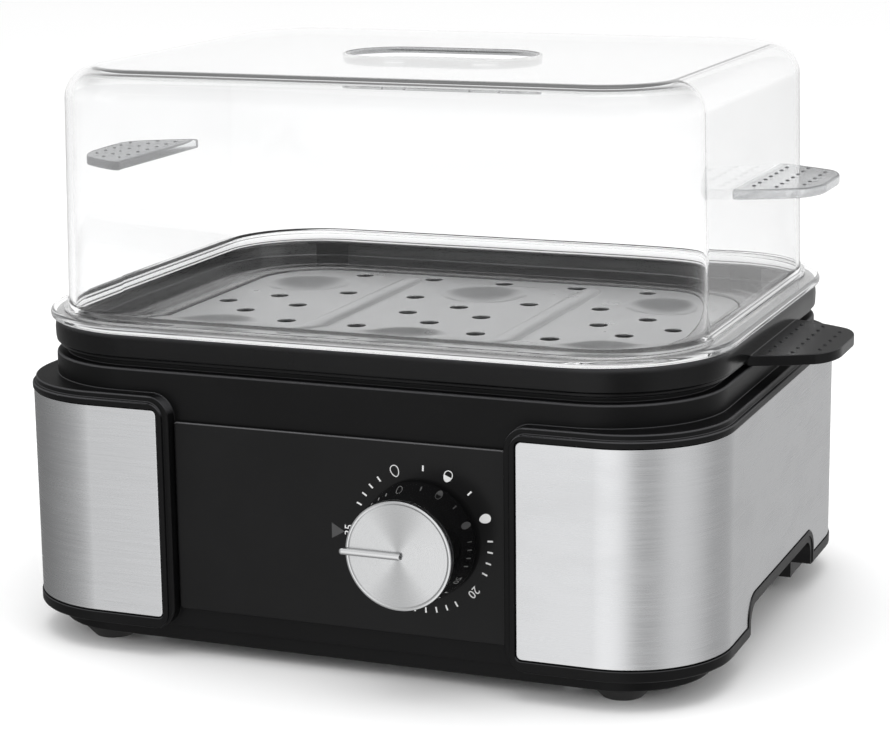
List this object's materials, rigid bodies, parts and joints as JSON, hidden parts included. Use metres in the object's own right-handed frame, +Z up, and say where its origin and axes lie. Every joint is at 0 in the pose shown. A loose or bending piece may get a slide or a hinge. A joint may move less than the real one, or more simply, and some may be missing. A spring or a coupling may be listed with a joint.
{
  "type": "egg cooker",
  "caption": "Electric egg cooker with a steel-wrapped base, a rotary timer knob, a lift-out tray with a perforated egg plate, and a clear lid with side tabs.",
  "frame": {"origin": "on the surface the feet stand on, under the middle of the model's bounding box", "axes": "+X to the right seen from the front, along the width; +Y from the knob towards the back; +Z up"},
  "size_m": [0.298, 0.2272, 0.201],
  "materials": {
    "black_plastic": "satin fine-textured black moulding",
    "gloss_panel": "semi-gloss dark panel",
    "brushed_steel": "horizontally brushed stainless steel",
    "plate_steel": "finely brushed pressed steel",
    "spun_metal": "spun face with a turned lustre",
    "clear_plastic": "clear, slightly grey at its edges",
    "grey_clear_plastic": "grey translucent, finely textured",
    "foot_rubber": "matt",
    "dark_coating": "smooth non-stick coating",
    "aluminium_parts": "plain",
    "silicone_seal": "matt",
    "ceramic_white": "matt ceramic",
    "screw_steel": "plated",
    "wire_sleeve": "woven sleeve"
  },
  "bodies": {
    "base": {"housing_shell": "black_plastic", "steel_wrap_left": "brushed_steel", "steel_wrap_right": "brushed_steel", "front_panel": "gloss_panel", "rear_panel": "gloss_panel", "bottom_cover": "black_plastic", "foot_front_left": "foot_rubber", "foot_front_right": "foot_rubber", "foot_rear_left": "foot_rubber", "foot_rear_right": "foot_rubber", "cover_screw_front_left": "screw_steel", "cover_screw_front_right": "screw_steel", "cover_screw_rear_left": "screw_steel", "cover_screw_rear_right": "screw_steel", "water_bowl": "dark_coating", "bowl_seal": "silicone_seal", "heat_spreader": "aluminium_parts", "heating_element": "aluminium_parts", "heat_shield": "aluminium_parts", "thermostat": "ceramic_white", "thermal_fuse": "screw_steel", "terminal_block": "ceramic_white", "inlet_bush": "foot_rubber", "timer_bracket": "screw_steel", "timer_screw_left": "screw_steel", "timer_screw_right": "screw_steel", "timer_case": "aluminium_parts", "timer_bell": "spun_metal", "lead_timer": "wire_sleeve", "lead_element": "wire_sleeve", "lead_sensor": "wire_sleeve"},
    "knob": {"knob_body": "black_plastic", "knob_face": "spun_metal", "knob_pointer": "spun_metal", "timer_shaft": "screw_steel"},
    "egg_tray": {"tray_frame": "black_plastic", "egg_plate": "plate_steel"},
    "lid": {"lid_shell": "clear_plastic", "lid_tab_left": "grey_clear_plastic", "lid_tab_right": "grey_clear_plastic"}
  },
  "joints": [
    {"name": "knob_turn", "type": "hinge", "parent": "base", "child": "knob", "pos_m": [0.0306, -0.1009, 0.0514], "axis": [0, 1, 0], "range_deg": [0, 300]},
    {"name": "tray_lift", "type": "slide", "parent": "base", "child": "egg_tray", "axis": [0, 0, 1], "range_m": [0, 0.12]},
    {"name": "lid_lift", "type": "slide", "parent": "egg_tray", "child": "lid", "axis": [0, 0, 1], "range_m": [0, 0.15]}
  ]
}
